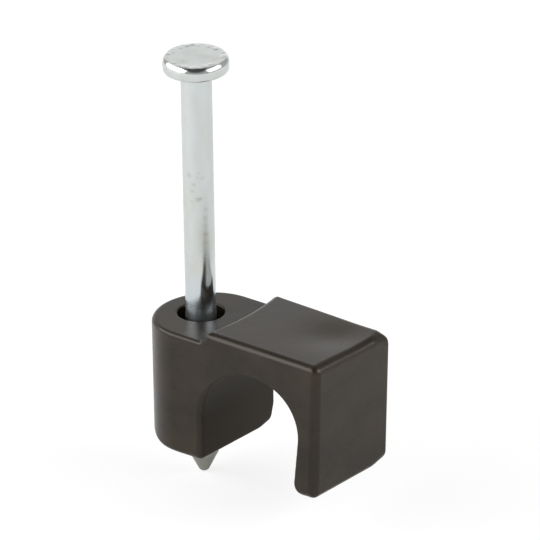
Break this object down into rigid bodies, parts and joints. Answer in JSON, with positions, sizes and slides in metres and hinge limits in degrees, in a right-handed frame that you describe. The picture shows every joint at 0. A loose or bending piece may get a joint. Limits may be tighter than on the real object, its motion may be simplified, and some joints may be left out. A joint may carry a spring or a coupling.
{
  "type": "nail-in cable clip",
  "caption": "Dark plastic clip whose arched hook holds a round cable against a wall, with a steel nail fitted upright in its boss ready to be driven.",
  "frame": {"origin": "on the nail's axis, in the plane of the wall face that the clip is nailed against", "axes": "+X from the nail towards the hook, +Y along the cable, +Z away from the wall along the nail towards its head"},
  "size_m": [0.0156, 0.0074, 0.0293],
  "materials": {
    "clip_plastic": "dark brown-black moulded plastic with a soft sheen",
    "nail_steel": "bright zinc-plated drawn steel"
  },
  "bodies": {
    "clip": {"clip_body": "clip_plastic"},
    "driven_nail": {"nail": "nail_steel"}
  },
  "joints": [
    {"name": "nail_drive", "type": "slide", "parent": "clip", "child": "driven_nail", "axis": [0, 0, -1], "range_m": [0, 0.01665]}
  ]
}
